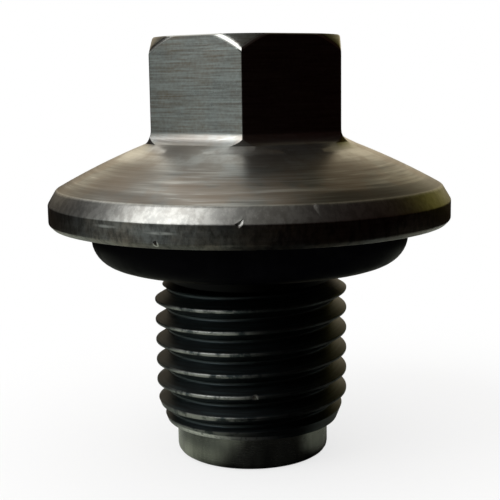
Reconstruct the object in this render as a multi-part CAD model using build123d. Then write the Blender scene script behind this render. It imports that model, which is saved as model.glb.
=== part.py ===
"""Oil drain plug with a hex head, a coned flange, a rubber seal ring and a pilot tip.

The plug is one turned and milled steel piece, and the seal ring is a second piece,
pushed over the thread and held in the neck behind it. Z runs up the plug's axis, from
the end face of the pilot tip at z = 0. The hex has corners towards +Y and -Y.
"""
from build123d import *
import math
import os

os.makedirs("parts", exist_ok=True)

# Driving sizes, in millimetres and degrees

# Whole plug
shank_length = 17.0
head_height = 13.0

# Hex head
hex_across_flats = 13.0
hex_crown_radius = 6.75
hex_chamfer_drop = 1.0
hex_foot_rise = 0.45
hex_foot_lean = 32.0
hex_foot_overhang = 0.04

# Flange
flange_diameter = 28.7
flange_edge_height = 1.6
flange_edge_chamfer = 0.3
flange_bevel_width = 0.6
flange_bevel_height = 1.0
dome_rise = 3.35
dome_bulge = 0.15

# Neck behind the thread
neck_below_root = 0.23
neck_length = 4.2

# Thread, M14 x 1.5, right-handed
thread_diameter = 14.0
thread_pitch = 1.5
thread_depth_share = 0.6134
thread_crest_share = 0.125
thread_root_share = 0.125
thread_angle = 60.0
thread_shoulder_height = 0.7
lead_taper_length = 1.8
lead_taper_depth = 0.7
first_groove_height = 0.845

# Pilot tip
pilot_below_root = 0.53
pilot_length = 2.5
pilot_edge_chamfer = 0.35

# Rubber seal ring
seal_diameter = 22.8
seal_thickness = 2.95
seal_outer_radius = 2.0
seal_inner_chamfer = 0.5
seal_neck_clearance = 0.1

# Heights and radii that follow from them
overall_height = shank_length + head_height
flange_radius = flange_diameter / 2
rim_top = shank_length + flange_edge_height
dome_foot_radius = flange_radius - flange_bevel_width
dome_foot_height = rim_top + flange_bevel_height
dome_top_height = dome_foot_height + dome_rise
hex_inner_radius = hex_across_flats / 2
hex_sides = 6
hex_half_angle = 180 / hex_sides
hex_corner_radius = hex_inner_radius / math.cos(math.radians(hex_half_angle))
thread_radius = thread_diameter / 2
thread_root_radius = thread_radius - thread_depth_share * thread_pitch
neck_radius = thread_root_radius - neck_below_root
neck_start = shank_length - neck_length
lead_taper_top = pilot_length + lead_taper_length
lead_taper_radius = thread_radius - lead_taper_depth
pilot_radius = thread_root_radius - pilot_below_root


def revolved(points):
    """One solid of revolution about Z, from its outline in radius and height."""
    with BuildPart() as turned:
        with BuildSketch(Plane.XZ):
            with BuildLine():
                Polyline(*points, close=True)
            make_face()
        revolve(axis=Axis.Z)
    return turned.part


def thread_groove():
    """The right-handed groove, from below the thread's end up into the neck."""
    half_root = thread_root_share * thread_pitch / 2
    half_mouth = (1 - thread_crest_share) * thread_pitch / 2
    overcut = thread_crest_share * thread_pitch / 2
    wide = half_mouth + overcut * math.tan(math.radians(thread_angle / 2))
    start = Plane(
        origin=(0, 0, first_groove_height),
        x_dir=(1, 0, 0),
        z_dir=(0, -1, 0),
    )
    with BuildPart() as groove:
        with BuildSketch(start):
            with BuildLine():
                Polyline(
                    (thread_root_radius, -half_root),
                    (thread_root_radius, half_root),
                    (thread_radius + overcut, wide),
                    (thread_radius + overcut, -wide),
                    close=True,
                )
            make_face()
        sweep(
            path=Helix(
                pitch=thread_pitch,
                height=neck_start - first_groove_height,
                radius=thread_radius,
                center=(0, 0, first_groove_height),
            ),
            is_frenet=True,
        )
    return groove.part


def threaded_shank():
    """Pilot tip, tapered lead, thread and neck, turned from a bar with the groove in it."""
    bar = revolved([
        (0, 0),
        (thread_radius, 0),
        (thread_radius, shank_length),
        (0, shank_length),
    ])
    outline = revolved([
        (0, 0),
        (pilot_radius - pilot_edge_chamfer, 0),
        (pilot_radius, pilot_edge_chamfer),
        (pilot_radius, pilot_length),
        (lead_taper_radius, pilot_length),
        (thread_radius, lead_taper_top),
        (thread_radius, neck_start - thread_shoulder_height),
        (neck_radius, neck_start),
        (neck_radius, shank_length),
        (0, shank_length),
    ])
    return (bar - thread_groove()) & outline


def flange():
    """Flat underside, upright edge, bevel and the two slopes of the shallow dome."""
    foot = Vector(dome_foot_radius, dome_foot_height)
    top = Vector(hex_inner_radius, dome_top_height)
    outward = Vector(dome_rise, dome_foot_radius - hex_inner_radius).normalized()
    bulge = (foot + top) / 2 + outward * dome_bulge
    return revolved([
        (0, shank_length),
        (flange_radius - flange_edge_chamfer, shank_length),
        (flange_radius, shank_length + flange_edge_chamfer),
        (flange_radius, rim_top),
        (foot.X, foot.Y),
        (bulge.X, bulge.Y),
        (top.X, top.Y),
        (0, dome_top_height),
    ])


def hexagon(inner_radius):
    """A hexagon by its inner radius, with corners towards +Y and -Y."""
    return RegularPolygon(
        inner_radius,
        hex_sides,
        major_radius=False,
        rotation=hex_half_angle,
    )


def hex_head():
    """Hex bar from inside the flange to the crown, its corners turned off on top."""
    with BuildPart() as bar:
        with BuildSketch(Plane.XY.offset(rim_top)):
            hexagon(hex_inner_radius)
        extrude(amount=overall_height - rim_top)
    chamfer_slope = hex_chamfer_drop / (hex_corner_radius - hex_crown_radius)
    reach = hex_corner_radius + hex_chamfer_drop / 2
    crown = revolved([
        (0, rim_top),
        (reach, rim_top),
        (reach, overall_height - chamfer_slope * (reach - hex_crown_radius)),
        (hex_crown_radius, overall_height),
        (0, overall_height),
    ])
    return bar.part & crown


def hex_foot():
    """Six faces that lean out from the foot of the flats to the dome, turned off round."""
    height = dome_rise + hex_foot_rise
    spread = height * math.tan(math.radians(hex_foot_lean))
    with BuildPart() as foot:
        with BuildSketch(Plane.XY.offset(dome_foot_height)):
            hexagon(hex_inner_radius + spread)
        extrude(amount=height, taper=hex_foot_lean)
    turned_radius = hex_corner_radius + hex_foot_overhang
    turned = revolved([
        (0, dome_foot_height),
        (turned_radius, dome_foot_height),
        (turned_radius, overall_height),
        (0, overall_height),
    ])
    return foot.part & turned


def plug_body():
    """The whole steel piece."""
    return flange() + hex_foot() + hex_head() + threaded_shank()


def seal_ring():
    """The rubber ring, flat against the flange and rounded where the pan squeezes it."""
    bore = neck_radius + seal_neck_clearance
    outside = seal_diameter / 2
    under = shank_length - seal_thickness
    ring = revolved([
        (bore, under + seal_inner_chamfer),
        (bore + seal_inner_chamfer, under),
        (outside, under),
        (outside, shank_length),
        (bore, shank_length),
    ])
    outer_edge = [
        edge
        for edge in ring.edges().filter_by(GeomType.CIRCLE).group_by(Axis.Z)[0]
        if edge.radius > outside - seal_outer_radius
    ]
    return fillet(outer_edge, seal_outer_radius)


export_step(plug_body(), "parts/plug_body.step")
export_step(seal_ring(), "parts/seal_ring.step")
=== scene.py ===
"""Oil drain plug: the looks of the steel plug and its rubber seal ring, and a stage.

Lengths in the panel are in metres. Each piece is modelled in millimetres, where its
small roundings are well above the tools' tolerances, and brought to metres at the end.
"""
import math

import bpy
from mathutils import Matrix, Vector


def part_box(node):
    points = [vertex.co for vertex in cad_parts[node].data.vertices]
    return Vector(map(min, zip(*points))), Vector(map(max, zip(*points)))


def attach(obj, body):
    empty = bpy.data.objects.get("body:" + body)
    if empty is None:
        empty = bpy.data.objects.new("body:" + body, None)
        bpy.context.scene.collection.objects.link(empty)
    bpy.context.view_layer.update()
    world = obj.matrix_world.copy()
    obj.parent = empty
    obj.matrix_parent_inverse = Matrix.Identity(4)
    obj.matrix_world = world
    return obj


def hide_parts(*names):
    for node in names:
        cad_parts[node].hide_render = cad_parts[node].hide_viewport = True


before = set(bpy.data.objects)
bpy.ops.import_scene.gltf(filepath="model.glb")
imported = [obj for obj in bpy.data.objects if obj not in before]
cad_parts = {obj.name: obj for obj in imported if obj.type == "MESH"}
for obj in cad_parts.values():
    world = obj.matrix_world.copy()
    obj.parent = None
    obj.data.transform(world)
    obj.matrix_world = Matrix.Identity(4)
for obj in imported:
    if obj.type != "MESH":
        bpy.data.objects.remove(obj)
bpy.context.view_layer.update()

bl_info = {
    "name": "Oil drain plug",
    "version": (1, 0, 0),
    "blender": (4, 5, 0),
    "location": "View3D > Sidebar > Drain plug",
    "description": "A hex head drain plug with a rubber seal ring, its finishes and a stage",
    "category": "Object",
}

PLUG_LOW, PLUG_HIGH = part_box("plug_body")
SEAL_LOW, SEAL_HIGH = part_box("seal_ring")

MM = 0.001
WHITE = (1, 1, 1, 1)

# How finely the pieces are divided
COLUMNS = 192
HEX_SIDES = 6
FOOT_STEPS = 5
EDGE_STEPS = 4
HEX_EDGE_STEPS = 3
ROUND_STEPS = 12
DOME_STEPS = 12

# Roundings that reach further than this, in mm, get the finer division
WIDE_ROUND = 1.0

# Tolerances for merging and for cutting, in mm
WELD = 0.0001
CUT_TOLERANCE = 0.00001

# Faces whose normal is at least this upright count as level
LEVEL = 0.9

# Edges that turn less than this are shaded smooth, in degrees
STEEL_SMOOTH = 25
RUBBER_SMOOTH = 40

# Roundings of the flange's corners, in mm
UNDER_EDGE = 0.05
CHAMFER_EDGE = 0.08
RIM_EDGE = 0.1
FOOT_EDGE = 0.15

# Nicks: turn from +X in degrees, radius, height, length and depth in mm, lean in degrees
RIM_NICKS = (
    (-89.5, 14.29, 18.7, 0.55, 0.14, -45),
    (-70.6, 13.77, 19.6, 0.3, 0.06, -65),
    (-110.5, 14.35, 17.3, 0.45, 0.12, 20),
)
THREAD_NICKS = (
    (-85.4, 7.0, 5.72, 0.42, 0.14, 40),
)

# How much more height counts than radius along the turned streaks
STREAK_SLOPE = 1.7

# Random patterns of the steel: what they follow, stretch on each axis, detail and roughness
STEEL_PATTERNS = {
    "fine": ("cut", (9.0, 0.1, 0.1), 5.0, 0.6),
    "broad": ("cut", (2.2, 0.2, 0.2), 3.0, 0.5),
    "swirl": ("cut", (0.8, 0.25, 0.25), 2.0, 0.5),
    "patches": ("plug", (0.32, 0.32, 0.32), 5.0, 0.6),
    "grain": ("plug", (5.0, 5.0, 5.0), 3.0, 0.5),
    "milled": ("plug", (0.35, 0.35, 9.0), 2.0, 0.5),
    "chips": ("plug", (1.1, 1.1, 1.1), 4.0, 0.6),
    "blotches": ("plug", (2.3, 2.3, 1.38), 6.0, 0.68),
    "wipes": ("plug", (0.55, 0.55, 0.12), 3.0, 0.6),
    "flanks": ("flank", (7.0, 0.3, 0.3), 3.0, 0.5),
}

# Between which two values a pattern turns into a mask
STREAKS = (0.36, 0.62)
GLINTS = (0.54, 0.62)
GLINT_LINES = (0.4, 0.6)
SKIN_PATCHES = (0.3, 0.7)
BROWNED = (0.4, 0.6)
PITS = (0.36, 0.68)
MILLED_LINES = (0.25, 0.75)
FLANK_LINES = (0.4, 0.7)
WIPES = (0.35, 0.65)
BEVEL_CHIPS = (0.4, 0.6)
CREST_CHIPS = (0.35, 0.55)
LEAD_HIGHLIGHT_BREAKS = (0.2, 0.5)
SCUFF_CHIPS = (0.3, 0.6)
DUST = (0.45, 0.75)

# How wide the edges of the steel's masks are, in mm
EDGE_FADE = 0.1
BEVEL_FADE = 0.08
FOOT_FADE = 0.25
SHADE_BAND_FADE = 0.25
NECK_SHADOW_FADE = 0.4
PILOT_FADE = 0.02

# Depths in from the rim, and heights of bands, in mm
BEVEL_DEPTHS = (1.3, 0.7)
RIM_DEPTH = 0.45
FOOT_BAND = 0.5
SHADE_BAND_HEIGHT = 0.35
LEAD_RIM = 0.08
LEAD_FOOT = 0.22
TIP_SHADE_HEIGHT = (0.7, 1.7)
EDGE_HIGHLIGHT_FADE = (0.15, 0.4)

# The bare ring round the hex, as shares of the hex's width
BARE_RING = (0.66, 0.82)

# The stain on the dome, and the scuffs on the rim by turn and height, in mm and degrees
STAIN_PLACE = (-7.6, -8.3, 21.0)
STAIN_REACH = (0.8, 4.5)
SCUFFS = ((-109.0, 18.0), (-126.0, 18.2))
SCUFF_LONG = 10.0
SCUFF_REACH = (0.3, 1.3)

# How far wear reaches in from the crests, the flats and the crown, in mm
CREST_WEAR = (0.02, 0.11)
FLATS_WEAR = (0.01, 0.03)
CROWN_WEAR = (0.02, 0.05)

# Where wear, painted highlights and painted shade fade from left to right, in mm from the axis
WORN_AND_LIT_CRESTS = (-6.0, -4.4, -1.5, 1.8)
LIT_LEAD = (-6.0, -4.0, -1.0, 3.0)
SHADED_FLANK_SIDES = (4.6, 5.6)
SHADED_SIDES = (2.0, 6.0)
SHADED_RIM = (10.0, 13.5)
SHADED_FLANGE_END = (-14.3, -13.1)
TIP_SHADE_SIDE = (-2.5, -0.5)
EDGE_HIGHLIGHT_SIDES = (1.0, 6.0)

# Shares of the turned lines, the wear and painted highlight of the thread, and the dust on the
# rubber
LINES_OFF_DOME = 0.2
LINES_ON_DOME = 0.9
DOME_GREY = 0.15
RING_LINES = 0.25
LEAD_LOSS = 0.7
LEAD_RIM_WEAR = 0.8
FAR_WEAR = 0.08
DUST_SHARE = 0.6
GRAIN_SHARE = 0.4

# The lights of the room: a direction, and how well a ray must line up to see them
ROOM_LIGHTS = {
    "room_back": ((-0.1, 0.98, 0.13), 0.72, 1.0),
    "room_high": ((0.2, 0.55, 0.81), 0.85, 1.0),
    "room_left": ((-0.86, -0.5, -0.1), 0.7, 1.0),
    "room_above": ((-0.35, 0.45, 0.82), 0.88, 0.97),
    "room_front": ((-0.1, -0.4, 0.91), 0.82, 0.98),
    "room_right": ((0.6, 0.77, 0.22), 0.91, 1.0),
}

# Where the room's light fades: at the horizon, and low on the left behind the plug
HORIZON = (-0.15, 0.1)
DARK_LEFT = (-0.35, -0.1)
DARK_LOW = (0.1, 0.22)

# The floor: where it fades to white, as shares of its radius, and where its colour in reflections
# is painted lit
PAPER_FADE = (0.35, 0.8)
LIT_LEFT = (-6.3, -1.2)
FAR_LEFT = (-9.0, -7.4)
FAR_LEFT_LOSS = 0.5
BACK_SLOPE = 0.8
LIT_BACK = (0.0, 8.0)
BACK_SIDES = (-8.0, -4.0)
BACK_LEFT = 0.3
BACK_RIGHT = 0.5
LIT_RIGHT = (5.2, 7.0)
RIGHT_BACK = (-5.0, -3.0)
RIGHT_SHARE = 0.45


def mm(length):
    """A length of the panel in millimetres."""
    return length / MM


def length(name, default, description):
    """A length property in metres."""
    return bpy.props.FloatProperty(
        name=name,
        description=description,
        default=default,
        min=0.0,
        precision=5,
        unit="LENGTH",
    )


def share(name, default, description):
    """A property from 0 to 1."""
    return bpy.props.FloatProperty(
        name=name,
        description=description,
        default=default,
        min=0.0,
        max=1.0,
        subtype="FACTOR",
    )


def angle(name, default, description):
    """An angle property, with its default in degrees."""
    return bpy.props.FloatProperty(
        name=name,
        description=description,
        default=math.radians(default),
        subtype="ANGLE",
    )


def colour(name, default, description):
    """A colour property."""
    return bpy.props.FloatVectorProperty(
        name=name,
        description=description,
        default=default,
        min=0.0,
        max=1.0,
        size=3,
        subtype="COLOR",
    )


class HeadSizes(bpy.types.PropertyGroup):
    """Sizes of the hex and the flange."""

    flange_diameter: length("Flange", PLUG_HIGH.x - PLUG_LOW.x, "Across the flange")
    rim_height: length("Rim", 0.0016, "Height of the upright edge of the flange")
    rim_chamfer: length("Rim chamfer", 0.0003, "Chamfer below the rim")
    bevel_width: length("Bevel width", 0.0006, "How far the bevel runs in above the rim")
    bevel_height: length("Bevel height", 0.001, "How high the bevel runs above the rim")
    dome_rise: length("Dome rise", 0.00335, "Height of the shallow dome above the bevel")
    dome_bulge: length("Dome bulge", 0.00015, "How far the dome stands out from a cone")
    across_flats: length("Across flats", 0.013, "Width of the hex over its flats")
    crown_radius: length("Crown radius", 0.00675, "Radius of the flat top of the hex")
    crown_drop: length("Crown drop", 0.001, "How far the corners are turned down")
    foot_rise: length("Foot rise", 0.0007, "Where the flats start to curve out")
    foot_round: length("Foot rounding", 0.00106, "Radius of the curve at the foot of the flats")
    foot_overhang: length("Foot overhang", 0.00009, "The turned foot beyond the corners")
    foot_flare: length("Foot flare", 0.0005, "How far the turned foot runs out at the dome")
    hex_edge: length("Hex edge", 0.00007, "Rounding of the upright edges of the hex")
    crown_edge: length("Crown edge", 0.00025, "Rounding where the crown meets the flats")
    top_edge: length("Top edge", 0.00008, "Small chamfer round the flat top")


class ShankSizes(bpy.types.PropertyGroup):
    """Sizes of the thread, the neck and the pilot tip."""

    thread_diameter: length("Thread", 0.014, "Outer diameter of the thread")
    pitch: length("Pitch", 0.0015, "Height of one turn of the thread")
    depth_share: share("Depth", 0.6134, "Depth of the thread as a share of its pitch")
    flat_share: share("Flats", 0.125, "Crest and root flats as a share of the pitch")
    crest_height: length("First crest", 0.001595, "Height of a crest on the +X side")
    crest_rounding: length("Crest rounding", 0.00006, "Rounding beside the crest")
    root_rounding: length("Root rounding", 0.00008, "Rounding beside the root")
    lead_length: length("Lead", 0.0018, "Height of the tapered start of the thread")
    lead_depth: length("Lead depth", 0.0007, "How far the lead tapers in")
    shoulder: length("Shoulder", 0.0007, "Height of the slope from thread to neck")
    neck_length: length("Neck", 0.0042, "Length of the plain neck under the flange")
    neck_radius: length("Neck radius", 0.00585, "Radius of the neck")
    pilot_length: length("Pilot", 0.0025, "Length of the plain pilot tip")
    pilot_radius: length("Pilot radius", 0.00555, "Radius of the pilot tip")
    pilot_edge: length("Pilot edge", 0.0005, "Rounding of the end of the pilot tip")


class SealSizes(bpy.types.PropertyGroup):
    """Sizes of the rubber ring."""

    diameter: length("Ring", SEAL_HIGH.x - SEAL_LOW.x, "Outer diameter of the ring")
    outer_edge: length("Outer rounding", 0.002, "Radius of the rounding under its edge")
    inner_edge: length("Inner chamfer", 0.0005, "Chamfer of the bore's lower edge")
    clearance: length("Clearance", 0.0001, "Gap between the ring and the neck")


class SteelFinish(bpy.types.PropertyGroup):
    """Colours and relief of the blackened steel."""

    oxide: colour("Oxide", (0.12, 0.125, 0.125), "The blackened skin")
    brown: colour("Brown", (0.15, 0.12, 0.09), "Where the skin has browned")
    tan: colour("Tan", (0.33, 0.27, 0.22), "Where the dome has browned")
    # Real pitting of the rim, and also the painted shade along the dome's outer edge and at the
    # right end of the rim
    pits_and_shade: colour("Pits", (0.042, 0.04, 0.036), "The dark pits of the rim")
    grey: colour("Grey", (0.38, 0.385, 0.37), "The turned dome")
    flats: colour("Flats", (0.265, 0.285, 0.275), "The milled flats")
    # This black also paints the shade on the upper left of the pilot tip
    black: colour("Thread black", (0.038, 0.044, 0.046), "The flanks of the thread")
    sheen: colour("Thread sheen", (0.06, 0.08, 0.085), "Tool lines on the flanks")
    pilot: colour("Pilot", (0.33, 0.34, 0.30), "The bare pilot tip")
    skin_tip: colour("Pilot skin", (0.17, 0.175, 0.155), "Dark skin left on the pilot tip")
    # Painted shadow: this near black paints the neck under the seal ring, the sides of the thread
    # and the left end of the flange
    neck: colour("Neck", (0.008, 0.008, 0.008), "The blackened neck")
    # Worn crests, whose brightness on the left front is also a painted highlight
    crest: colour("Crests", (0.36, 0.37, 0.35), "Worn thread crests")
    worn: colour("Worn", (0.55, 0.55, 0.52), "The worn bevel")
    # Uncoated steel on the ring round the hex, and also the painted glints of the dome and the
    # painted highlight along the foot of the lead
    bare_and_highlight: colour("Bare", (0.85, 0.86, 0.83), "The bare ring round the foot of the hex")
    relief: length("Relief", 0.000006, "Depth of the tool marks")
    roughness: share("Roughness", 0.24, "How dull the smoothest steel is")
    foot_share: share("Foot", 0.65, "How much of the flats' tone the foot of the hex takes")
    tan_share: share("Browning", 0.55, "How strong the brown patches of the dome are")
    glint_share: share("Glints", 0.5, "How strong the bright turned lines are")
    stain_share: share("Stain", 0.7, "How strong the stain on the dome is")
    pit_share: share("Pitting", 0.8, "How dark the pits of the rim are")
    scuff_share: share("Scuffs", 0.55, "How bright the scuffs of the rim are")
    # Painted shade along the outer edge of the dome, darker on the right
    edge_shade_left: share("Dome edge", 0.45, "How dark the outer edge of the dome is")
    edge_shade_right: share("Dome edge, right", 0.3, "How much darker it is on the right")
    # Painted shade at the right end of the rim
    rim_shade_share: share("Rim, right", 0.6, "How dark the right end of the rim is")
    # Painted shade at the sides of the thread
    flank_shade_share: share("Thread ends", 0.5, "How dark the sides of the thread are")
    # Painted shade on the upper left of the pilot tip
    tip_shade: share("Tip", 0.6, "How dark the left of the pilot tip is")
    # Painted highlight along the foot of the lead
    lead_highlight_share: share("Lead", 0.8, "How bare the foot of the lead is")
    bevel_wear: share("Bevel wear", 0.55, "How worn the bevel is everywhere")
    bevel_chips: share("Bevel chips", 0.35, "How much more it is worn in places")


class RubberFinish(bpy.types.PropertyGroup):
    """Colours and relief of the rubber."""

    black: colour("Black", (0.0005, 0.0005, 0.001), "The rubber")
    dusty: colour("Dusty", (0.0015, 0.0015, 0.002), "Where dust has dulled it")
    # Painted highlight along the lower edge of the ring
    lower_edge_highlight: colour("Lip", (0.018, 0.017, 0.012), "The rubbed edge of its underside")
    relief: length("Relief", 0.000008, "Depth of its grain")
    roughness: share("Roughness", 0.42, "How dull clean rubber is")
    dust_roughness: share("Dust", 0.2, "How much duller dust makes it")
    specular: share("Specular", 0.012, "How strongly it mirrors the room")


class StageLook(bpy.types.PropertyGroup):
    """The camera, the lamps and the floor."""

    camera_turn: angle("Camera turn", 2.8, "How far the camera stands round to +X")
    camera_distance: length("Camera distance", 0.07536, "From the axis of the plug")
    camera_height: length("Camera height", 0.02691, "Above the floor")
    camera_pitch: angle("Camera pitch", 9.146, "How far the camera looks down")
    camera_roll: angle("Camera roll", -0.829, "Tilt of the horizon")
    focal_length: bpy.props.FloatProperty(
        name="Focal length",
        description="Focal length of the lens",
        default=75.353,
        unit="CAMERA",
    )
    floor_radius: length("Floor", 0.06, "Radius of the floor")
    paper: colour("Paper", (0.9, 0.9, 0.9), "The floor")
    fibre: colour("Fibres", (0.864, 0.864, 0.864), "The darker fibres of the floor")
    paper_roughness: share("Paper roughness", 0.8, "How dull the floor is")
    # Painted light and shade of the floor as seen in reflections
    paper_dim: colour("Dim paper", (0.006, 0.006, 0.006), "The floor in reflections, right")
    paper_lit: colour("Lit paper", (0.6, 0.64, 0.54), "The floor in reflections, left")
    shadow_share: share("Shadow", 0.3, "How much of the plug's shadow the camera sees")
    room_dark: colour("Room", (0.006, 0.001, 0.0004), "The dark side of the room")
    room_back: colour("Behind", (0.85, 0.73, 0.53), "The light behind the plug")
    room_left: colour("Left", (0.57, 0.62, 0.60), "The light from the left")
    room_above: colour("Above", (1.0, 1.0, 0.95), "The light from above")
    room_front: colour("Front", (0.14, 0.14, 0.13), "The light from above the camera")
    room_high: colour("High", (0.13, 0.115, 0.075), "The light from high behind")
    room_right: colour("Right", (0.1785, 0.1615, 0.02975), "The light from behind on the right")
    key_direction: bpy.props.FloatVectorProperty(
        name="Key direction",
        description="Where the key lamp hangs, seen from the plug",
        default=(-0.60, -0.43, 0.67),
        subtype="DIRECTION",
    )
    key_distance: length("Key distance", 0.3, "From the plug to the key lamp")
    key_width: length("Key width", 0.17, "Width of the key lamp")
    key_height: length("Key height", 0.24, "Height of the key lamp")
    key_power: bpy.props.FloatProperty(
        name="Key power",
        description="Power of the key lamp",
        default=0.38,
        min=0.0,
        unit="POWER",
    )


def select_only(piece):
    """Leaves one object selected and active."""
    bpy.ops.object.select_all(action="DESELECT")
    piece.select_set(True)
    bpy.context.view_layer.objects.active = piece


def mend_mesh(piece):
    """Merges what meets, closes what is left open and turns the faces outwards."""
    select_only(piece)
    bpy.ops.object.mode_set(mode="EDIT")
    bpy.ops.mesh.select_all(action="SELECT")
    bpy.ops.mesh.remove_doubles(threshold=WELD)
    bpy.ops.mesh.dissolve_degenerate(threshold=WELD)
    bpy.ops.mesh.select_all(action="SELECT")
    bpy.ops.mesh.fill_holes(sides=0)
    bpy.ops.mesh.select_all(action="SELECT")
    bpy.ops.mesh.normals_make_consistent(inside=False)
    bpy.ops.object.mode_set(mode="OBJECT")


def combine(piece, other, operation):
    """Joins, cuts or limits a piece with another, which is used up."""
    select_only(piece)
    modifier = piece.modifiers.new(operation.title(), "BOOLEAN")
    modifier.operation = operation
    modifier.solver = "EXACT"
    modifier.object = other
    bpy.ops.object.modifier_apply(modifier=modifier.name)
    bpy.data.objects.remove(other)
    mend_mesh(piece)


def rounding(before, corner, after, reach):
    """Points from one side of a corner to the other, along an arc inside it."""
    back = (before - corner).normalized() * reach
    onward = (after - corner).normalized() * reach
    steps = ROUND_STEPS if reach > WIDE_ROUND else EDGE_STEPS
    turns = [math.pi / 2 * step / steps for step in range(steps + 1)]
    return [
        corner + back * (1 - math.sin(turned)) + onward * (1 - math.cos(turned))
        for turned in turns
    ]


def outline(*corners):
    """The points of an outline of corners, each a radius, a height and a rounding."""
    places = [Vector(corner[:2]) for corner in corners]
    points = []
    for index, corner in enumerate(corners):
        if len(corner) == 2:
            points.append(places[index])
            continue
        after = places[(index + 1) % len(places)]
        points += rounding(places[index - 1], places[index], after, corner[2])
    return points


def bulged(start, end, bulge):
    """Points between two places on an outline, standing out in the middle."""
    run = end - start
    outward = Vector((run.y, -run.x)).normalized()
    shares = [step / DOME_STEPS for step in range(1, DOME_STEPS)]
    return [
        start + run * share + outward * bulge * 4 * share * (1 - share)
        for share in shares
    ]


def turn(name, points, close=False):
    """Turns an outline into a closed piece, ring by ring from its first point."""
    select_nothing()
    bpy.ops.mesh.primitive_circle_add(vertices=COLUMNS, radius=points[0].x)
    piece = bpy.context.object
    piece.name = piece.data.name = name
    bpy.ops.object.mode_set(mode="EDIT")
    bpy.ops.mesh.select_mode(type="VERT")
    bpy.ops.mesh.select_all(action="SELECT")
    bpy.ops.transform.translate(value=(0, 0, points[0].y))
    for here, after in zip(points, points[1:]):
        ratio = after.x / here.x
        bpy.ops.mesh.extrude_edges_move()
        bpy.ops.transform.resize(value=(ratio, ratio, 1), center_override=(0, 0, 0))
        bpy.ops.transform.translate(value=(0, 0, after.y - here.y))
    if close:
        bpy.ops.mesh.select_all(action="DESELECT")
        bpy.ops.mesh.select_non_manifold()
        bpy.ops.mesh.bridge_edge_loops()
    bpy.ops.object.mode_set(mode="OBJECT")
    mend_mesh(piece)
    return piece


def select_nothing():
    """Deselects every object, as a new primitive expects."""
    bpy.ops.object.select_all(action="DESELECT")


def start_selection(piece, kind):
    """Turns to edges or faces with none of them selected, and stays in object mode."""
    if bpy.context.mode != "OBJECT":
        bpy.ops.object.mode_set(mode="OBJECT")
    select_only(piece)
    bpy.ops.object.mode_set(mode="EDIT")
    bpy.ops.mesh.select_mode(type=kind)
    bpy.ops.mesh.select_all(action="DESELECT")
    bpy.ops.object.mode_set(mode="OBJECT")


def select_edges(piece, wanted):
    """Selects the edges whose two ends pass a test, and stays in edit mode."""
    start_selection(piece, "EDGE")
    for edge in piece.data.edges:
        start, end = (piece.data.vertices[index].co for index in edge.vertices)
        edge.select = wanted(start, end)
    bpy.ops.object.mode_set(mode="EDIT")


def select_faces(piece, wanted):
    """Selects the faces that pass a test, and stays in edit mode."""
    start_selection(piece, "FACE")
    for face in piece.data.polygons:
        face.select = wanted(face)
    bpy.ops.object.mode_set(mode="EDIT")


def cut_off(place, facing):
    """Cuts off all that lies past a plane, and closes the cut."""
    bpy.ops.mesh.select_all(action="SELECT")
    bpy.ops.mesh.bisect(
        plane_co=place,
        plane_no=facing,
        use_fill=True,
        clear_outer=True,
        threshold=CUT_TOLERANCE,
    )


def finish_piece(piece, node, material, smooth_angle):
    """Brings a piece to metres, smooths and paints it, and seats it in the frame."""
    select_only(piece)
    bpy.ops.transform.resize(value=(MM, MM, MM), center_override=(0, 0, 0))
    bpy.ops.object.transform_apply(location=True, rotation=True, scale=True)
    bpy.ops.object.shade_smooth_by_angle(angle=smooth_angle)
    piece.data.materials.clear()
    piece.data.materials.append(material)
    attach(piece, "root")
    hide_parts(node)


def nick_place(turned, reach, height):
    """Where a nick is, in millimetres."""
    turned = math.radians(turned)
    return Vector((math.cos(turned) * reach, math.sin(turned) * reach, height))


def nick(piece, nicks):
    """Cuts small dents with the corner of a block that leans along each dent."""
    for turned, reach, height, long, deep, lean in nicks:
        aim = (
            Matrix.Rotation(math.radians(turned), 4, "Z")
            @ Matrix.Rotation(math.radians(lean), 4, "X")
            @ Matrix.Rotation(math.pi / 4, 4, "Z")
        )
        clear = long / math.sqrt(2) - deep
        select_nothing()
        bpy.ops.mesh.primitive_cube_add(
            size=long,
            location=nick_place(turned, reach + clear, height),
            rotation=aim.to_euler(),
        )
        combine(piece, bpy.context.object, "DIFFERENCE")


def head_heights(sizes):
    """The heights of the flange's levels, from its underside up, in millimetres."""
    under = mm(SEAL_HIGH.z)
    rim_top = under + mm(sizes.rim_height)
    dome_foot = rim_top + mm(sizes.bevel_height)
    dome_top = dome_foot + mm(sizes.dome_rise)
    return under, rim_top, dome_foot, dome_top


def turn_flange(sizes):
    """The flange: flat underside, chamfered rim, bevel and shallow dome."""
    under, rim_top, dome_foot, dome_top = head_heights(sizes)
    rim = mm(sizes.flange_diameter) / 2
    chamfer = mm(sizes.rim_chamfer)
    inner = mm(sizes.across_flats) / 2
    foot = Vector((rim - mm(sizes.bevel_width), dome_foot))
    top = Vector((inner, dome_top))
    below = outline(
        (inner / 2, under),
        (rim - chamfer, under, UNDER_EDGE),
        (rim, under + chamfer, CHAMFER_EDGE),
        (rim, rim_top, RIM_EDGE),
        (foot.x, foot.y, FOOT_EDGE),
        (top.x, top.y),
    )
    dome = bulged(below[-2], top, mm(sizes.dome_bulge))
    piece = turn("flange", [*below[:-1], *dome, top, Vector((inner / 2, dome_top))])
    nick(piece, RIM_NICKS)
    return piece


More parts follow.
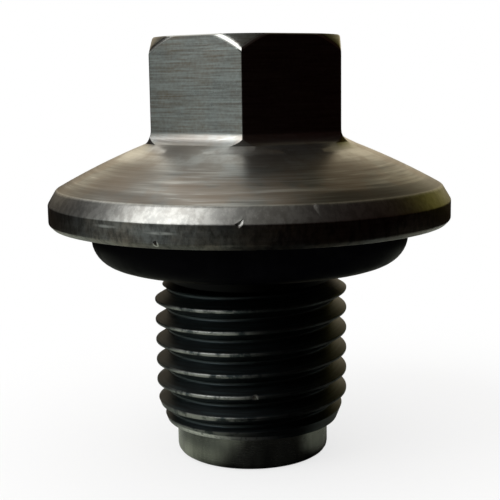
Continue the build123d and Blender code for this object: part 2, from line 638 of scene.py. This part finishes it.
def mill_hex(sizes):
    """The hex: a bar with a turned crown, milled flats and a foot that leans out."""
    *_, dome_top = head_heights(sizes)
    top = mm(PLUG_HIGH.z)
    inner = mm(sizes.across_flats) / 2
    corner = inner / math.cos(math.pi / HEX_SIDES)
    crown = mm(sizes.crown_radius)
    slope = mm(sizes.crown_drop) / (corner - crown)
    bar = corner + mm(sizes.hex_edge)
    foot_top = dome_top + mm(sizes.foot_rise)
    point = inner - 2 * mm(sizes.crown_edge)
    piece = turn("hex", outline(
        (bar, foot_top),
        (bar, top - slope * (bar - crown)),
        (point, top + slope * (crown - point)),
    ))
    turns = [2 * math.pi * side / HEX_SIDES for side in range(HEX_SIDES)]
    facings = [Vector((math.cos(turned), math.sin(turned), 0)) for turned in turns]
    bpy.ops.object.mode_set(mode="EDIT")
    for facing in facings:
        cut_off(facing * inner, facing)
    bpy.ops.object.mode_set(mode="OBJECT")

    def is_crown_edge(start, end):
        return min(start.z, end.z) > top - 2 * mm(sizes.crown_drop) and all(
            max(place.dot(facing) for facing in facings) > inner - WELD for place in (start, end)
        )

    def is_upright(start, end):
        return abs(start.z - end.z) > mm(sizes.rim_height)

    select_edges(piece, is_crown_edge)
    bpy.ops.mesh.bevel(offset=mm(sizes.crown_edge), segments=EDGE_STEPS, affect="EDGES")
    cut_off((0, 0, top - mm(sizes.top_edge)), (0, 0, 1))
    drawn_in = 1 - mm(sizes.top_edge) / inner
    select_faces(piece, lambda face: face.normal.z > LEVEL)
    bpy.ops.mesh.extrude_region_move()
    bpy.ops.transform.resize(value=(drawn_in, drawn_in, 1), center_override=(0, 0, 0))
    bpy.ops.transform.translate(value=(0, 0, mm(sizes.top_edge)))
    select_edges(piece, is_upright)
    bpy.ops.mesh.bevel(offset=mm(sizes.hex_edge), segments=HEX_EDGE_STEPS, affect="EDGES")
    bpy.ops.object.mode_set(mode="OBJECT")
    flare_foot(piece, sizes)
    return piece


def flare_foot(piece, sizes):
    """Curves the foot of the flats out to the dome, and turns its corners off round."""
    dome_foot, dome_top = head_heights(sizes)[2:]
    inner = mm(sizes.across_flats) / 2
    corner = inner / math.cos(math.pi / HEX_SIDES)
    curve = mm(sizes.foot_round)
    dome_lean = math.atan2(mm(sizes.flange_diameter) / 2 - inner, mm(sizes.dome_rise))
    leans = [dome_lean * step / FOOT_STEPS for step in range(FOOT_STEPS + 1)]
    places = [
        Vector((inner + curve * (1 - math.cos(lean)), -curve * math.sin(lean)))
        for lean in leans
    ]
    places.append(places[-1] + Vector((math.sin(dome_lean), -math.cos(dome_lean))) * curve)
    select_faces(piece, lambda face: face.normal.z < -LEVEL)
    for here, after in zip(places, places[1:]):
        spread = after.x / here.x
        bpy.ops.mesh.extrude_region_move()
        bpy.ops.transform.resize(value=(spread, spread, 1), center_override=(0, 0, 0))
        bpy.ops.transform.translate(value=(0, 0, after.y - here.y))
    bpy.ops.object.mode_set(mode="OBJECT")
    mend_mesh(piece)
    turned_radius = corner + mm(sizes.foot_overhang)
    flared = turned_radius + mm(sizes.foot_flare)
    flare_low = dome_top - (flared - inner) / math.tan(dome_lean)
    combine(piece, turn("turned_foot", outline(
        (flared, dome_foot),
        (flared, flare_low),
        (turned_radius, flare_low + mm(sizes.foot_flare)),
        (turned_radius, mm(PLUG_HIGH.z) + turned_radius),
    )), "INTERSECT")


def cut_thread(sizes):
    """The thread: one turn's outline screwed up the shank, with flat ends."""
    pitch = mm(sizes.pitch)
    crest = mm(sizes.thread_diameter) / 2
    root = crest - pitch * sizes.depth_share
    half_flat = sizes.flat_share * pitch / 2
    start = mm(sizes.crest_height) - pitch
    crest_round = mm(sizes.crest_rounding)
    root_round = mm(sizes.root_rounding)
    points = outline(
        (crest, start),
        (crest, start + half_flat, crest_round),
        (root, start + pitch / 2 - half_flat, root_round),
        (root, start + pitch / 2 + half_flat, root_round),
        (crest, start + pitch - half_flat, crest_round),
        (crest, start + pitch),
    )
    low = mm(sizes.pilot_length) - pitch / 2
    high = mm(SEAL_HIGH.z - sizes.neck_length) + pitch / 2
    turns = math.ceil((high - start) / pitch) + 1
    select_nothing()
    bpy.ops.mesh.primitive_circle_add(vertices=len(points), radius=crest)
    piece = bpy.context.object
    piece.name = piece.data.name = "thread"
    for vertex, point in zip(piece.data.vertices, points):
        vertex.co = (point.x, 0, point.y)
    select_edges(piece, lambda a, b: abs(a.z - b.z) > pitch / 2)
    bpy.ops.mesh.delete(type="EDGE_FACE")
    bpy.ops.object.mode_set(mode="OBJECT")
    modifier = piece.modifiers.new("Turns", "SCREW")
    modifier.screw_offset = pitch
    modifier.iterations = turns
    modifier.steps = modifier.render_steps = COLUMNS
    bpy.ops.object.modifier_apply(modifier=modifier.name)
    bpy.ops.object.mode_set(mode="EDIT")
    bpy.ops.mesh.select_all(action="SELECT")
    bpy.ops.mesh.remove_doubles(threshold=WELD)
    for height, facing in ((low, -1), (high, 1)):
        cut_off((0, 0, height), (0, 0, facing))
    bpy.ops.object.mode_set(mode="OBJECT")
    mend_mesh(piece)
    return piece


def turn_shank(sizes):
    """Thread, tapered lead, shoulder, neck and pilot tip, in one piece."""
    crest = mm(sizes.thread_diameter) / 2
    neck = mm(sizes.neck_radius)
    pilot = mm(sizes.pilot_radius)
    under = mm(SEAL_HIGH.z)
    pilot_top = mm(sizes.pilot_length)
    neck_start = under - mm(sizes.neck_length)
    shoulder = mm(sizes.shoulder)
    proud = 0.2
    lead_slope = mm(sizes.lead_length) / mm(sizes.lead_depth)
    shoulder_slope = shoulder / (crest - neck)
    within = 0.35
    limit = turn("limit", outline(
        (pilot / 2, pilot_top),
        (crest - mm(sizes.lead_depth), pilot_top),
        (crest + proud, pilot_top + mm(sizes.lead_length) + proud * lead_slope),
        (crest + proud, neck_start - shoulder - proud * shoulder_slope),
        (neck - within, neck_start + within * shoulder_slope),
        (pilot / 2, neck_start + within * shoulder_slope),
    ))
    shank = cut_thread(sizes)
    combine(shank, limit, "INTERSECT")
    nick(shank, THREAD_NICKS)
    core = turn("core", outline(
        (pilot / 2, 0),
        (pilot, 0, mm(sizes.pilot_edge)),
        (pilot, pilot_top + within),
        (pilot - within, pilot_top + 2 * within),
        (pilot - within, neck_start - 2 * within),
        (neck, neck_start - within),
        (neck, under + 2 * within),
        (pilot / 2, under + 2 * within),
    ))
    combine(shank, core, "UNION")
    return shank


class Shade:
    """A value in a node tree, written in ordinary sums."""

    def __init__(self, tree, socket=None):
        self.tree = tree
        self.socket = socket

    def add(self, kind, settings=None, values=None, output=0):
        """Adds a node with its settings and input values, and gives one output."""
        node = self.tree.nodes.new(kind)
        for name, value in (settings or {}).items():
            setattr(node, name, value)
        for name, value in (values or {}).items():
            if isinstance(value, Shade):
                self.tree.links.new(value.socket, node.inputs[name])
            else:
                node.inputs[name].default_value = value
        return Shade(self.tree, node.outputs[output])

    def maths(self, operation, *values):
        """One sum of a value or two."""
        return self.add("ShaderNodeMath", {"operation": operation}, dict(enumerate(values)))

    def __add__(self, other):
        return self.maths("ADD", self, other)

    def __radd__(self, other):
        return self.maths("ADD", other, self)

    def __sub__(self, other):
        return self.maths("SUBTRACT", self, other)

    def __rsub__(self, other):
        return self.maths("SUBTRACT", other, self)

    def __mul__(self, other):
        return self.maths("MULTIPLY", self, other)

    def __rmul__(self, other):
        return self.maths("MULTIPLY", other, self)

    def __pow__(self, other):
        return self.maths("POWER", self, other)

    def __abs__(self):
        return self.maths("ABSOLUTE", self)

    def larger(self, other):
        """The larger of two values."""
        return self.maths("MAXIMUM", self, other)

    def rise(self, low, high):
        """0 below one value, 1 above another, and smooth between."""
        values = {"Value": self, "From Min": low, "From Max": high}
        return self.add("ShaderNodeMapRange", {"interpolation_type": "SMOOTHSTEP"}, values)

    def fall(self, low, high):
        """1 below one value, 0 above another, and smooth between."""
        return 1 - self.rise(low, high)

    def fall_straight(self, low, high):
        """1 below one value, 0 above another, and even between."""
        values = {"Value": self, "From Min": high, "From Max": low}
        return self.add("ShaderNodeMapRange", None, values)

    def distance(self, point):
        """How far this place is from a point."""
        values = {0: self, 1: point}
        return self.add("ShaderNodeVectorMath", {"operation": "DISTANCE"}, values, "Value")

    def between(self, low, high, soft):
        """1 between two values, fading to 0 over a soft stretch outside them."""
        return self.rise(low - soft, low) * self.fall(high, high + soft)

    def window(self, start, full, last, end):
        """0 outside a stretch, 1 in the middle of it, and smooth at both its ends."""
        return self.rise(start, full) * self.fall(last, end)

    def split(self):
        """The three parts of a vector."""
        node = self.tree.nodes.new("ShaderNodeSeparateXYZ")
        self.tree.links.new(self.socket, node.inputs[0])
        return [Shade(self.tree, part) for part in node.outputs]

    def join(self, *parts):
        """A vector of three parts."""
        return self.add("ShaderNodeCombineXYZ", None, dict(enumerate(parts)))

    def stretched(self, stretch):
        """This place with each of its parts multiplied."""
        values = {0: self, 1: stretch}
        return self.add("ShaderNodeVectorMath", {"operation": "MULTIPLY"}, values)

    def mix(self, low, high):
        """A colour between two, at 0 and at 1 of this value."""
        settings = {"data_type": "RGBA"}
        values = {0: self, 6: low, 7: high}
        return self.add("ShaderNodeMix", settings, values, output=2)

    def tint(self, tone):
        """A colour of the strength of this value."""
        values = {0: tuple(tone), "Scale": self}
        return self.add("ShaderNodeVectorMath", {"operation": "SCALE"}, values)

    def lighten(self, other):
        """This colour with another added to it."""
        return self.add("ShaderNodeVectorMath", {"operation": "ADD"}, {0: self, 1: other})

    def noise(self, scale, detail, roughness=0.5):
        """Soft random patches at this place, from 0 to 1."""
        values = {"Vector": self, "Scale": scale, "Detail": detail, "Roughness": roughness}
        return self.add("ShaderNodeTexNoise", None, values)

    def bump(self, strength, depth):
        """A surface direction with this value as its relief."""
        values = {"Strength": strength, "Distance": depth, "Height": self}
        return self.add("ShaderNodeBump", None, values)


def opaque(tone):
    """A colour of the panel with its fourth part."""
    return (*tone, 1.0)


def new_material(name):
    """A material, its shader, and its places on the piece in millimetres."""
    material = bpy.data.materials.new(name)
    material.use_nodes = True
    tree = material.node_tree
    shader = tree.nodes["Principled BSDF"]
    objects = Shade(tree).add("ShaderNodeTexCoord", output="Object")
    scale = (1 / MM, 1 / MM, 1 / MM)
    place = objects.add("ShaderNodeMapping", None, {"Vector": objects, "Scale": scale})
    return material, shader, place


def feed(shader, **values):
    """Wires values to a shader's inputs, which are named with underscores here."""
    for name, value in values.items():
        value.tree.links.new(value.socket, shader.inputs[name.replace("_", " ")])


class SteelSurface:
    """Places on the plug in millimetres, masks for its parts, and random patterns."""

    def __init__(self, place, head, shank):
        self.place = place
        self.x, self.y, self.z = place.split()
        self.across = abs(self.x)
        self.radius = (self.x * self.x + self.y * self.y) ** 0.5
        self.rim = mm(head.flange_diameter) / 2
        self.pilot_top = mm(shank.pilot_length)
        self.under, self.rim_top, self.dome_foot, self.dome_top = head_heights(head)
        self.mask_parts(self.dome_top + mm(head.foot_rise))
        self.add_patterns()

    def mask_parts(self, flats_foot):
        """Adds the masks for the parts of the plug, from 0 to 1."""
        above_seal = self.z.rise(self.under - 2 * EDGE_FADE, self.under - EDGE_FADE)
        above_foot = self.z.rise(self.dome_foot - EDGE_FADE, self.dome_foot + EDGE_FADE)
        below_bevel = self.z.fall(self.rim_top - EDGE_FADE, self.rim_top + EDGE_FADE)
        inside = self.rim - RIM_DEPTH
        self.on_shank = 1 - above_seal
        self.on_flats = self.z.rise(flats_foot - FOOT_FADE, flats_foot)
        self.on_flange = above_seal * (1 - self.on_flats)
        self.on_dome = above_foot * self.on_flange
        outer = self.radius.rise(*(self.rim - depth for depth in BEVEL_DEPTHS))
        self.on_bevel = outer * self.z.between(self.rim_top, self.dome_foot, BEVEL_FADE)
        self.on_rim = self.radius.rise(inside, inside + EDGE_FADE) * below_bevel * self.on_flange
        self.on_pilot = self.z.fall(self.pilot_top - EDGE_FADE, self.pilot_top - PILOT_FADE)

    def add_patterns(self):
        """Adds the random patterns, from 0 to 1."""
        ways = {
            "plug": self.place,
            "cut": self.place.join(self.radius - self.z * STREAK_SLOPE, self.x, self.y),
            "flank": self.place.join(self.radius, self.x, self.y),
        }
        for name, (way, stretch, detail, roughness) in STEEL_PATTERNS.items():
            setattr(self, name, ways[way].stretched(stretch).noise(1.0, detail, roughness))

    def weigh(self, **weights):
        """A sum of masks and patterns, each with its weight."""
        return sum(getattr(self, name) * weight for name, weight in weights.items())


def layered(tone, *layers):
    """A colour with others laid over it, each where its mask is."""
    for mask, over in layers:
        tone = mask.mix(tone, opaque(over))
    return tone


def flange_tone(finish, head, steel, skin):
    """The turned flange, with its bright inner ring of clean steel, its stain and its pitted rim,
    and painted shade along the outer edge of the dome and at the right end of the rim.
    """
    hex_width = mm(head.across_flats)
    dome = steel.on_dome
    streaks = steel.weigh(fine=0.3, broad=0.45, swirl=0.25).rise(*STREAKS)
    glints = steel.weigh(broad=0.6, swirl=0.4).rise(*GLINTS) * steel.fine.rise(*GLINT_LINES)
    lined = streaks * (LINES_OFF_DOME + dome * LINES_ON_DOME) + dome * DOME_GREY
    ring = steel.radius.fall(hex_width * BARE_RING[0], hex_width * BARE_RING[1]) * dome
    foot = steel.z.rise(steel.dome_top - FOOT_BAND, steel.dome_top + EDGE_FADE)
    stain = steel.place.distance(STAIN_PLACE).fall(*STAIN_REACH) * dome
    tone = layered(
        lined.mix(skin, opaque(finish.grey)),
        (ring * (1 - (1 - streaks) * RING_LINES), finish.bare_and_highlight),
        (foot * finish.foot_share, finish.flats),
        (steel.patches.rise(*BROWNED) * dome * finish.tan_share, finish.tan),
        (glints * dome * finish.glint_share, finish.bare_and_highlight),
        (stain * finish.stain_share, finish.brown),
        (steel.on_rim * steel.blotches.rise(*PITS) * finish.pit_share, finish.pits_and_shade),
    )
    for turned, height in SCUFFS:
        spot = nick_place(turned, steel.rim, height)
        spot.z *= SCUFF_LONG
        scuff = steel.place.stretched((1, 1, SCUFF_LONG)).distance(spot).fall(*SCUFF_REACH)
        scuff = scuff * steel.chips.rise(*SCUFF_CHIPS) * finish.scuff_share
        tone = layered(tone, (scuff, finish.worn))
    # Painted shade: a dark band along the outer edge of the dome, on its sides and darker on the
    # right
    ledge = steel.dome_foot + EDGE_FADE
    painted_shade = steel.z.between(ledge, ledge + SHADE_BAND_HEIGHT, SHADE_BAND_FADE) * steel.on_flange
    painted_shade = painted_shade * steel.across.rise(*SHADED_SIDES)
    painted_shade = painted_shade * (finish.edge_shade_left + steel.x.rise(*SHADED_SIDES) * finish.edge_shade_right)
    # Painted shade: the right end of the rim takes the dark pit colour
    rim_shade = steel.x.rise(*SHADED_RIM) * steel.on_rim * finish.rim_shade_share
    return layered(tone, (painted_shade, finish.pits_and_shade), (rim_shade, finish.pits_and_shade))


def crest_wear_and_highlight(shank, steel):
    """Where the crests of the thread are rubbed bright, less so on the lead: real wear, which is
    also a painted highlight where it is kept to the left front and to the lead's lower rim.
    """
    lead = steel.z.fall_straight(steel.pilot_top, steel.pilot_top + mm(shank.lead_length))
    crest = mm(shank.thread_diameter) / 2
    below_crest = crest - mm(shank.lead_depth) * lead - steel.radius
    lead_rim = steel.z.between(steel.pilot_top, steel.pilot_top + LEAD_RIM, LEAD_RIM)
    rubbed = below_crest.fall(*CREST_WEAR) * (1 - lead * LEAD_LOSS).larger(lead_rim * LEAD_RIM_WEAR)
    # Painted highlight: away from the left front the crests keep only a small share of their wear
    side = FAR_WEAR + steel.x.window(*WORN_AND_LIT_CRESTS) * (1 - FAR_WEAR)
    return rubbed * steel.on_shank * steel.chips.rise(*CREST_CHIPS) * side


def hex_wear(head, steel):
    """Where the edges of the hex and of its crown are rubbed bright."""
    half_side = math.pi / HEX_SIDES
    inner = mm(head.across_flats) / 2
    crown = mm(head.crown_radius)
    slope = mm(head.crown_drop) / (inner / math.cos(half_side) - crown)
    aslant = steel.across * math.sin(half_side) + abs(steel.y) * math.cos(half_side)
    from_flats = inner - steel.across.larger(aslant)
    from_crown = mm(PLUG_HIGH.z) + slope * crown - slope * steel.radius - steel.z
    return from_flats.rise(*FLATS_WEAR) * from_crown.rise(*CROWN_WEAR) * steel.on_flats


def shank_tone(finish, shank, steel):
    """Black flanks, worn crests and the pilot tip, with painted shade at the sides and on the tip,
    a painted shadow on the neck, and painted highlights on the left.
    """
    neck_start = steel.under - mm(shank.neck_length)
    flanks = steel.flanks.rise(*FLANK_LINES).mix(opaque(finish.black), opaque(finish.sheen))
    # Painted shade: the flanks darken to near black towards both sides of the thread
    flanks = layered(flanks, (steel.across.rise(*SHADED_FLANK_SIDES) * finish.flank_shade_share, finish.neck))
    tip = steel.wipes.rise(*WIPES).mix(opaque(finish.skin_tip), opaque(finish.pilot))
    # Painted shade: the upper left of the pilot tip is darkened towards the thread's black
    painted_shade = steel.z.rise(*TIP_SHADE_HEIGHT) * steel.x.fall(*TIP_SHADE_SIDE) * finish.tip_shade
    # Painted highlight: a bright strip along the foot of the lead on the left front, broken up by
    # grain
    lead_highlight = steel.z.between(steel.pilot_top, steel.pilot_top + LEAD_FOOT, EDGE_FADE)
    lead_highlight = lead_highlight * steel.x.window(*LIT_LEAD) * steel.grain.rise(*LEAD_HIGHLIGHT_BREAKS)
    return layered(
        steel.on_pilot.mix(flanks, layered(tip, (painted_shade, finish.black))),
        (lead_highlight * finish.lead_highlight_share, finish.bare_and_highlight),
        (crest_wear_and_highlight(shank, steel), finish.crest),
        # Painted shadow: the neck under the seal ring is painted near black
        (steel.z.rise(neck_start - NECK_SHADOW_FADE, neck_start - EDGE_FADE), finish.neck),
    )


def steel_finish(finish, head, shank):
    """Blackened steel: turned flange, milled flats, worn edges and thread crests, and painted light
    and shade.
    """
    material, shader, place = new_material("blackened_steel")
    steel = SteelSurface(place, head, shank)
    skin = steel.patches.rise(*SKIN_PATCHES).mix(opaque(finish.oxide), opaque(finish.brown))
    milled = steel.weigh(milled=0.7, grain=0.3).rise(*MILLED_LINES)
    flats = milled.mix(opaque(finish.flats), skin)
    head_tone = steel.on_flats.mix(flange_tone(finish, head, steel, skin), flats)
    bright = finish.bevel_wear + steel.blotches.fall(*BEVEL_CHIPS) * finish.bevel_chips
    wear = (steel.on_bevel * bright).larger(hex_wear(head, steel))
    tone = layered(
        steel.on_shank.mix(head_tone, shank_tone(finish, shank, steel)),
        (wear, finish.worn),
        # Painted shade: the left end of the flange is darkened to near black
        (steel.x.fall(*SHADED_FLANGE_END) * steel.on_flange, finish.neck),
    )
    for turned, reach, height, _, deep, _ in (*RIM_NICKS, *THREAD_NICKS):
        away = place.distance(nick_place(turned, reach - deep / 2, height))
        tone = layered(tone, (away.fall(deep, deep * 2), finish.worn))

    roughness = finish.roughness + steel.weigh(
        patches=0.1,
        fine=0.08,
        on_bevel=0.04,
        on_flats=-0.04,
        on_shank=0.12,
        on_pilot=-0.18,
    )
    lines = steel.weigh(fine=0.7, broad=0.3) * steel.on_flange + steel.milled * steel.on_flats
    lines = lines + steel.grain * steel.weigh(on_shank=0.4)
    lines = lines + steel.blotches * steel.weigh(on_rim=5.0, on_bevel=2.0, on_pilot=1.5)
    relief = lines.bump(strength=1.0, depth=finish.relief)
    feed(shader, Base_Color=tone, Roughness=roughness, Normal=relief)
    shader.inputs["Metallic"].default_value = 1.0
    return material


def rubber_finish(finish):
    """Black rubber with a dull, slightly uneven skin and a painted highlight along the sides of its
    lower edge.
    """
    material, shader, place = new_material("black_rubber")
    x, _, z = place.split()
    low = mm(SEAL_LOW.z)
    grain = place.noise(scale=7.0, detail=3.0)
    dust = place.noise(scale=0.7, detail=4.0, roughness=0.6).rise(*DUST)
    dulled = dust * DUST_SHARE + grain * GRAIN_SHARE
    dull = dulled.mix(opaque(finish.black), opaque(finish.dusty))
    # Painted highlight: the lower edge is lighter towards both sides
    lower_edge_highlight = z.fall(low + EDGE_HIGHLIGHT_FADE[0], low + EDGE_HIGHLIGHT_FADE[1]) * abs(x).rise(*EDGE_HIGHLIGHT_SIDES)
    tone = layered(dull, (lower_edge_highlight, finish.lower_edge_highlight))
    roughness = finish.roughness + dust * finish.dust_roughness
    relief = grain.bump(strength=0.6, depth=finish.relief)
    feed(shader, Base_Color=tone, Roughness=roughness, Normal=relief)
    shader.inputs["Specular IOR Level"].default_value = finish.specular
    return material


class DRAINPLUG_OT_body(bpy.types.Operator):
    """Models the steel plug in one piece"""

    bl_idname = "drainplug.body"
    bl_label = "Plug body"

    def execute(self, context):
        sizes = context.scene.drain_plug_head
        body = turn_shank(context.scene.drain_plug_shank)
        combine(body, turn_flange(sizes), "UNION")
        combine(body, mill_hex(sizes), "UNION")
        body.name = body.data.name = "steel_plug"
        steel = steel_finish(context.scene.drain_plug_steel, sizes, context.scene.drain_plug_shank)
        finish_piece(body, "plug_body", steel, math.radians(STEEL_SMOOTH))
        return {"FINISHED"}


class DRAINPLUG_OT_seal(bpy.types.Operator):
    """Models the rubber seal ring"""

    bl_idname = "drainplug.seal"
    bl_label = "Seal ring"

    def execute(self, context):
        sizes = context.scene.drain_plug_seal
        bore = mm(context.scene.drain_plug_shank.neck_radius + sizes.clearance)
        outer = mm(sizes.diameter) / 2
        low, high = mm(SEAL_LOW.z), mm(SEAL_HIGH.z)
        ring = turn("rubber_seal", outline(
            (bore, high),
            (bore, low + mm(sizes.inner_edge)),
            (bore + mm(sizes.inner_edge), low),
            (outer, low, mm(sizes.outer_edge)),
            (outer, high),
        ), close=True)
        rubber = rubber_finish(context.scene.drain_plug_rubber)
        finish_piece(ring, "seal_ring", rubber, math.radians(RUBBER_SMOOTH))
        return {"FINISHED"}


class DRAINPLUG_OT_stage(bpy.types.Operator):
    """Sets the floor, the lamps, the background and the camera"""

    bl_idname = "drainplug.stage"
    bl_label = "Stage"

    def execute(self, context):
        look = context.scene.drain_plug_stage
        context.scene.view_settings.view_transform = "Standard"
        set_camera(context, look)
        context.scene.world = studio(look)
        lay_floor(look)
        hang_lamp("key_lamp", look)
        return {"FINISHED"}


def towards(direction, facing, low, high):
    """1 along one direction of the room, fading to 0 away from it."""
    values = {0: direction, 1: Vector(facing).normalized()}
    aligned = direction.add("ShaderNodeVectorMath", {"operation": "DOT_PRODUCT"}, values, "Value")
    return aligned.rise(low, high)


def studio(look):
    """White behind the plug for the camera, and a soft room for the light."""
    world = bpy.data.worlds.new("studio")
    world.use_nodes = True
    tree = world.node_tree
    direction = Shade(tree).add("ShaderNodeTexCoord", output="Generated")
    x, _, z = direction.split()
    raised = z.rise(*HORIZON)
    low_left = x.fall(*DARK_LEFT) * z.fall(*DARK_LOW)
    lights = {name: towards(direction, *reach) for name, reach in ROOM_LIGHTS.items()}
    lights["room_back"] = lights["room_back"] * raised * (1 - low_left)
    lights["room_right"] = lights["room_right"] * raised
    room = Vector(look.room_dark)
    for name, light in lights.items():
        room = light.tint(getattr(look, name)).lighten(room)
    seen = direction.add("ShaderNodeLightPath", output="Is Camera Ray")
    plain = direction.add("ShaderNodeLightPath", output="Is Diffuse Ray")
    background = tree.nodes["Background"]
    feed(background, Color=(seen + plain).mix(room, WHITE))
    background.inputs["Strength"].default_value = 1.0
    return world


def lay_floor(look):
    """A round pale floor that keeps the plug's shadow and fades to white at its edge."""
    select_nothing()
    bpy.ops.mesh.primitive_circle_add(vertices=COLUMNS, radius=look.floor_radius, fill_type="NGON")
    floor = bpy.context.object
    floor.name = floor.data.name = "floor"
    floor.data.materials.append(floor_paper(look))


def floor_paper(look):
    """Pale paper, which the camera sees as white away from the plug; in reflections its colour is
    painted light on the left, behind and on the right, and dark elsewhere.
    """
    material, shader, place = new_material("pale_paper")
    tree = material.node_tree
    x, y, _ = place.split()
    radius = (x * x + y * y) ** 0.5
    edge = mm(look.floor_radius)
    near = radius.fall(edge * PAPER_FADE[0], edge * PAPER_FADE[1])
    seen = place.add("ShaderNodeLightPath", output="Is Camera Ray")
    mirrored = place.add("ShaderNodeLightPath", output="Is Glossy Ray")
    fibres = place.noise(scale=1.5, detail=4.0)
    paper = fibres.mix(opaque(look.paper), opaque(look.fibre))
    # Painted light: in reflections the floor is lit on the left, behind and on the right, and dim
    # elsewhere
    left = x.fall(*LIT_LEFT) * (1 - x.fall(*FAR_LEFT) * FAR_LEFT_LOSS)
    back = (y - x * BACK_SLOPE).rise(*LIT_BACK) * (BACK_LEFT + x.rise(*BACK_SIDES) * BACK_RIGHT)
    right = x.rise(*LIT_RIGHT) * y.rise(*RIGHT_BACK) * RIGHT_SHARE
    lit = (left + back + right).mix(opaque(look.paper_dim), opaque(look.paper_lit))
    feed(shader, Base_Color=mirrored.mix(paper, lit))
    shader.inputs["Roughness"].default_value = look.paper_roughness
    white = tree.nodes.new("ShaderNodeEmission")
    white.inputs["Color"].default_value = WHITE
    blend = tree.nodes.new("ShaderNodeMixShader")
    shown = seen * (1 - near * look.shadow_share)
    tree.links.new(shown.socket, blend.inputs[0])
    tree.links.new(shader.outputs[0], blend.inputs[1])
    tree.links.new(white.outputs[0], blend.inputs[2])
    tree.links.new(blend.outputs[0], tree.nodes["Material Output"].inputs["Surface"])
    return material


def hang_lamp(name, look):
    """A soft upright lamp, hung in a direction from the plug and turned to it."""
    facing = Vector(look.key_direction).normalized()
    aim = facing.to_track_quat("Z", "Y").to_euler()
    select_nothing()
    bpy.ops.object.light_add(type="AREA", location=facing * look.key_distance, rotation=aim)
    lamp = bpy.context.object
    lamp.name = name
    lamp.data.shape = "RECTANGLE"
    lamp.data.size = look.key_width
    lamp.data.size_y = look.key_height
    lamp.data.energy = look.key_power


def set_camera(context, look):
    """The camera at the photograph's angle and distance."""
    turned = look.camera_turn
    place = Vector((math.sin(turned), -math.cos(turned), 0)) * look.camera_distance
    place.z = look.camera_height
    aim = (
        Matrix.Rotation(turned, 4, "Z")
        @ Matrix.Rotation(math.pi / 2 - look.camera_pitch, 4, "X")
        @ Matrix.Rotation(look.camera_roll, 4, "Z")
    )
    select_nothing()
    bpy.ops.object.camera_add(location=place, rotation=aim.to_euler())
    camera = context.object
    camera.name = "photo_camera"
    camera.data.lens = look.focal_length
    camera.data.clip_start = MM
    context.scene.camera = camera


class DRAINPLUG_PT_panel(bpy.types.Panel):
    """Lists the sizes, the looks and the steps"""

    bl_label = "Oil drain plug"
    bl_idname = "DRAINPLUG_PT_panel"
    bl_space_type = "VIEW_3D"
    bl_region_type = "UI"
    bl_category = "Drain plug"

    def draw(self, context):
        for name in GROUPS:
            group = getattr(context.scene, name)
            box = self.layout.box()
            for key in group.bl_rna.properties.keys():
                if key not in ("rna_type", "name"):
                    box.prop(group, key)
        for step in STEPS:
            self.layout.operator(step.bl_idname)


GROUPS = {
    "drain_plug_head": HeadSizes,
    "drain_plug_shank": ShankSizes,
    "drain_plug_seal": SealSizes,
    "drain_plug_steel": SteelFinish,
    "drain_plug_rubber": RubberFinish,
    "drain_plug_stage": StageLook,
}
STEPS = (DRAINPLUG_OT_body, DRAINPLUG_OT_seal, DRAINPLUG_OT_stage)


def register():
    for group in GROUPS.values():
        bpy.utils.register_class(group)
    for name, group in GROUPS.items():
        setattr(bpy.types.Scene, name, bpy.props.PointerProperty(type=group))
    for step in (*STEPS, DRAINPLUG_PT_panel):
        bpy.utils.register_class(step)


def unregister():
    for step in (DRAINPLUG_PT_panel, *reversed(STEPS)):
        bpy.utils.unregister_class(step)
    for name in GROUPS:
        delattr(bpy.types.Scene, name)
    for group in reversed(GROUPS.values()):
        bpy.utils.unregister_class(group)


def main():
    register()
    bpy.ops.drainplug.body()
    bpy.ops.drainplug.seal()
    bpy.ops.drainplug.stage()


if __name__ == "__main__":
    main()
